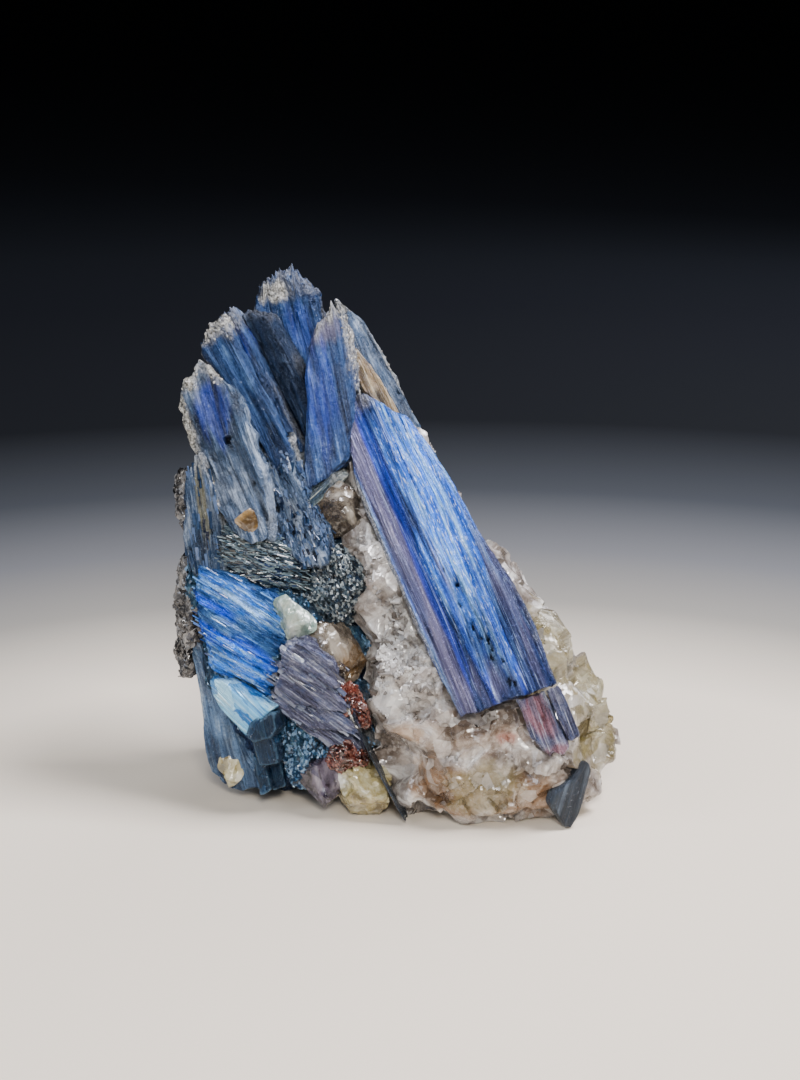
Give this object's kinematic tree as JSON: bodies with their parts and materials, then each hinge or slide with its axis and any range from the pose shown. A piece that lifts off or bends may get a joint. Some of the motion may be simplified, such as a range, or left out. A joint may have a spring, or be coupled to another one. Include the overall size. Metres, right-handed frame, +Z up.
{
  "type": "kyanite blade cluster on quartz matrix",
  "caption": "Mineral specimen: blue kyanite blades leaning together on rough translucent quartz, with mica, feldspar and garnet grains.",
  "frame": {"origin": "middle of the footprint, on the surface the specimen rests on", "axes": "+Z up, along the specimen's greatest height; -Y is the side that the widest blade faces; +X towards the quartz bulge"},
  "size_m": [0.1104, 0.0582, 0.1296],
  "materials": {
    "kyanite_sheen": "pearly blade face, fine lengthwise streaks",
    "kyanite_blue": "pearly, streaked blue and grey",
    "kyanite_grey": "pale blue-grey, rough edges",
    "kyanite_deep": "dark blue, glassy",
    "kyanite_vivid": "vivid blue, silky fibres",
    "kyanite_silver": "bright cleavage face",
    "kyanite_teal": "dark, glassy, blocky",
    "kyanite_steel": "grey-blue cleavage plate",
    "kyanite_mauve": "mauve-grey, silky, translucent",
    "kyanite_fibrous": "fibrous, dark grey-green with glitter",
    "kyanite_granular": "granular blue-green",
    "quartz": "translucent, glassy breaks",
    "quartz_milky": "milky, glassy",
    "quartz_smoky": "smoky brown, glassy",
    "quartz_lilac": "grey-lilac, glassy",
    "quartz_straw": "pale straw, sugary",
    "feldspar": "tan, dull",
    "garnet": "rust red, granular",
    "mica": "dark flakes, glittering"
  },
  "bodies": {
    "root": {"main_blade": "kyanite_sheen", "shoulder_blade": "kyanite_blue", "left_blade_front": "kyanite_grey", "left_blade_foot": "kyanite_grey", "summit_blade": "kyanite_blue", "left_blade_middle": "kyanite_blue", "left_blade_back": "kyanite_blue", "dark_blade": "kyanite_deep", "rear_right_blade": "kyanite_grey", "left_edge_blade": "kyanite_grey", "bright_fan_blade": "kyanite_vivid", "silver_blade": "kyanite_silver", "corner_prisms": "kyanite_teal", "left_foot_blade": "kyanite_steel", "mauve_blades": "kyanite_mauve", "edge_plate": "kyanite_steel", "under_blade": "kyanite_mauve", "under_block": "kyanite_mauve", "corner_shard": "kyanite_steel", "pale_lath": "kyanite_silver", "tan_wedge": "feldspar", "garnet_upper": "garnet", "garnet_lower": "garnet", "milky_chip": "quartz_milky", "brown_nugget": "quartz_smoky", "smoky_grain": "quartz_smoky", "beige_chip": "feldspar", "lilac_foot": "quartz_lilac", "straw_foot": "quartz_straw", "straw_corner": "quartz_straw", "mica_knob_upper": "mica", "mica_knob_lower": "mica", "dark_granules": "kyanite_fibrous", "fibrous_mass": "kyanite_fibrous", "blue_green_mass": "kyanite_granular", "rear_kyanite": "kyanite_blue", "quartz_matrix": "quartz"}
  },
  "joints": []
}
